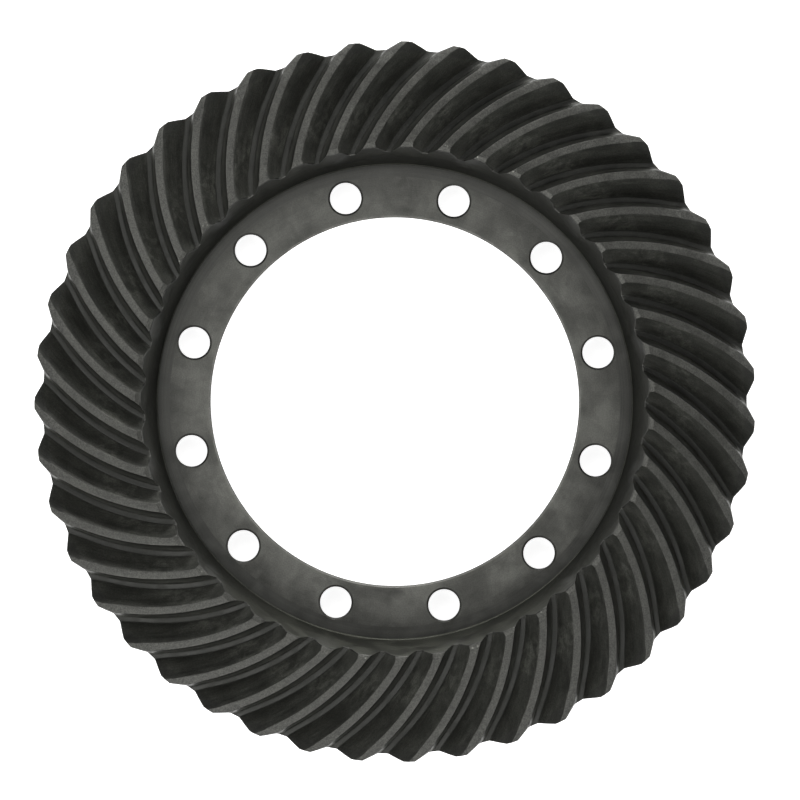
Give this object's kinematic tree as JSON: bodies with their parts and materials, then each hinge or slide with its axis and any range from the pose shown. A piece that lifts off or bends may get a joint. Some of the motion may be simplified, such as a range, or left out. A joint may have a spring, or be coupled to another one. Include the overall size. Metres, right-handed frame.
{
  "type": "spiral bevel ring gear",
  "caption": "Large spiral bevel ring gear: right-hand spiral face teeth round a flat bolt flange with a wide central bore.",
  "frame": {"origin": "centre of the bore in the plane of the flat back face", "axes": "+Z along the gear's axis towards the teeth; +X is 13.6 degrees clockwise of the first bolt hole, seen from +Z"},
  "size_m": [0.3914, 0.3916, 0.055],
  "materials": {
    "gear_steel": "dark phosphate coating on machined and forged steel, satin; a little lighter on the turned tooth tops and the flange"
  },
  "bodies": {
    "root": {"ring_gear": "gear_steel"}
  },
  "joints": []
}
